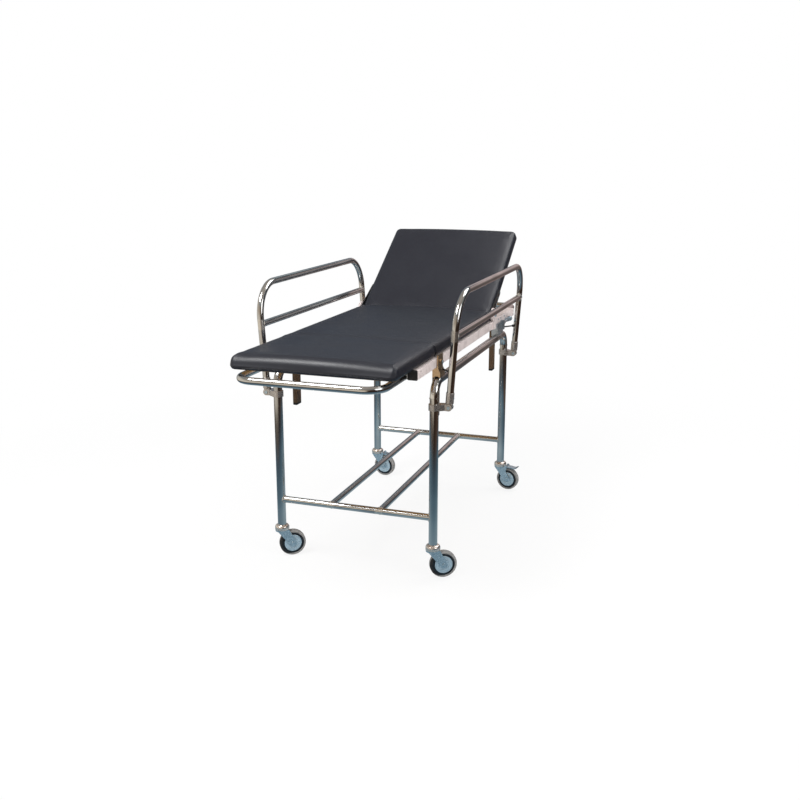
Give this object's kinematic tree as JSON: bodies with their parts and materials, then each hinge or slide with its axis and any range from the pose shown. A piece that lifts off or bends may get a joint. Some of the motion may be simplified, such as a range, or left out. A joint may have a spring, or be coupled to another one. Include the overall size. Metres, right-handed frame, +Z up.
{
  "type": "stretcher trolley",
  "caption": "Tube-frame stretcher trolley on swivel casters, with fold-down side rails and a lift-off padded top whose backrest tilts.",
  "frame": {"origin": "on the floor, under the middle of the trolley", "axes": "+Z up, +Y towards the head end, +X to the right as seen from the foot end"},
  "size_m": [0.7772, 1.875, 1.1607],
  "materials": {
    "polished_tube": "polished stainless tube",
    "zinc_plated_steel": "blue zinc plate",
    "fitting_steel": "satin",
    "rubber_stop": "moulded",
    "painted_member": "satin powder coat",
    "dark_post": "dark powder coat",
    "black_plastic": "moulded",
    "plywood": "plain",
    "charcoal_vinyl": "vinyl-coated fabric",
    "wheel_centre": "moulded",
    "grey_tyre": "moulded"
  },
  "bodies": {
    "base": {"leg_front_left": "polished_tube", "leg_front_right": "polished_tube", "leg_rear_left": "polished_tube", "leg_rear_right": "polished_tube", "hoop_left": "polished_tube", "hoop_right": "polished_tube", "cross_bar_front": "polished_tube", "cross_bar_rear": "polished_tube", "long_bars": "polished_tube", "caster_races": "zinc_plated_steel", "rail_lugs": "fitting_steel", "rail_hinge_pins": "zinc_plated_steel", "saddles_front": "fitting_steel", "saddles_rear": "fitting_steel", "rail_stops": "rubber_stop"},
    "caster_front_left": {"caster_fork_front_left": "zinc_plated_steel", "caster_axle_front_left": "zinc_plated_steel"},
    "wheel_front_left": {"wheel_hub_front_left": "wheel_centre", "wheel_tyre_front_left": "grey_tyre"},
    "caster_front_right": {"caster_fork_front_right": "zinc_plated_steel", "caster_axle_front_right": "zinc_plated_steel"},
    "wheel_front_right": {"wheel_hub_front_right": "wheel_centre", "wheel_tyre_front_right": "grey_tyre"},
    "caster_rear_left": {"caster_fork_rear_left": "zinc_plated_steel", "caster_axle_rear_left": "zinc_plated_steel"},
    "wheel_rear_left": {"wheel_hub_rear_left": "wheel_centre", "wheel_tyre_rear_left": "grey_tyre"},
    "brake_rear_left": {"brake_pedal_rear_left": "zinc_plated_steel"},
    "caster_rear_right": {"caster_fork_rear_right": "zinc_plated_steel", "caster_axle_rear_right": "zinc_plated_steel"},
    "wheel_rear_right": {"wheel_hub_rear_right": "wheel_centre", "wheel_tyre_rear_right": "grey_tyre"},
    "brake_rear_right": {"brake_pedal_rear_right": "zinc_plated_steel"},
    "rail_left": {"rail_frame_left": "polished_tube", "rail_mid_bar_left": "polished_tube", "rail_end_fittings_left": "fitting_steel"},
    "rail_right": {"rail_frame_right": "polished_tube", "rail_mid_bar_right": "polished_tube", "rail_end_fittings_right": "fitting_steel"},
    "stretcher": {"side_member_left": "painted_member", "side_member_right": "painted_member", "plastic_caps": "black_plastic", "cross_members": "painted_member", "loop_foot": "polished_tube", "loop_head": "polished_tube", "stretcher_posts": "dark_post", "foot_board": "plywood", "seat_board": "plywood", "foot_cushion": "charcoal_vinyl", "seat_cushion": "charcoal_vinyl", "hinge_plates": "painted_member", "hinge_bolts": "zinc_plated_steel", "bolt_guides": "zinc_plated_steel"},
    "latch_left": {"latch_bolt_left": "zinc_plated_steel"},
    "latch_right": {"latch_bolt_right": "zinc_plated_steel"},
    "back": {"back_board": "plywood", "back_cushion": "charcoal_vinyl", "hinge_arms": "dark_post"}
  },
  "joints": [
    {"name": "swivel_front_left", "type": "hinge", "parent": "base", "child": "caster_front_left", "pos_m": [-0.3, -0.515, 0.104], "axis": [0, 0, 1], "continuous": true},
    {"name": "wheel_spin_front_left", "type": "hinge", "parent": "caster_front_left", "child": "wheel_front_left", "pos_m": [-0.26926, -0.49266, 0.05], "axis": [0.5878, -0.809, 0], "continuous": true},
    {"name": "swivel_front_right", "type": "hinge", "parent": "base", "child": "caster_front_right", "pos_m": [0.3, -0.515, 0.104], "axis": [0, 0, 1], "continuous": true},
    {"name": "wheel_spin_front_right", "type": "hinge", "parent": "caster_front_right", "child": "wheel_front_right", "pos_m": [0.33291, -0.496, 0.05], "axis": [0.5, -0.866, 0], "continuous": true},
    {"name": "swivel_rear_left", "type": "hinge", "parent": "base", "child": "caster_rear_left", "pos_m": [-0.3, 0.515, 0.104], "axis": [0, 0, 1], "continuous": true},
    {"name": "wheel_spin_rear_left", "type": "hinge", "parent": "caster_rear_left", "child": "wheel_rear_left", "pos_m": [-0.26214, 0.51169, 0.05], "axis": [-0.0872, -0.9962, 0], "continuous": true},
    {"name": "brake_press_rear_left", "type": "hinge", "parent": "caster_rear_left", "child": "brake_rear_left", "pos_m": [-0.26812, 0.51221, 0.108], "axis": [0.0872, 0.9962, 0], "range_deg": [0, 9]},
    {"name": "swivel_rear_right", "type": "hinge", "parent": "base", "child": "caster_rear_right", "pos_m": [0.3, 0.515, 0.104], "axis": [0, 0, 1], "continuous": true},
    {"name": "wheel_spin_rear_right", "type": "hinge", "parent": "caster_rear_right", "child": "wheel_rear_right", "pos_m": [0.33772, 0.51037, 0.05], "axis": [-0.1219, -0.9925, 0], "continuous": true},
    {"name": "brake_press_rear_right", "type": "hinge", "parent": "caster_rear_right", "child": "brake_rear_right", "pos_m": [0.33176, 0.5111, 0.108], "axis": [0.1219, 0.9925, 0], "range_deg": [0, 9]},
    {"name": "rail_fold_left", "type": "hinge", "parent": "base", "child": "rail_left", "pos_m": [-0.35, 0, 0.637], "axis": [0, -1, 0], "range_deg": [0, 176]},
    {"name": "rail_fold_right", "type": "hinge", "parent": "base", "child": "rail_right", "pos_m": [0.35, 0, 0.637], "axis": [0, 1, 0], "range_deg": [0, 176]},
    {"name": "stretcher_lift", "type": "slide", "parent": "base", "child": "stretcher", "axis": [0, 0, 1], "range_m": [0, 0.48]},
    {"name": "latch_slide_left", "type": "slide", "parent": "stretcher", "child": "latch_left", "axis": [0, -1, 0], "range_m": [0, 0.022]},
    {"name": "latch_slide_right", "type": "slide", "parent": "stretcher", "child": "latch_right", "axis": [0, -1, 0], "range_m": [0, 0.022]},
    {"name": "back_tilt", "type": "hinge", "parent": "stretcher", "child": "back", "pos_m": [0, 0.318, 0.834], "axis": [1, 0, 0], "range_deg": [-34.1, 26]}
  ]
}
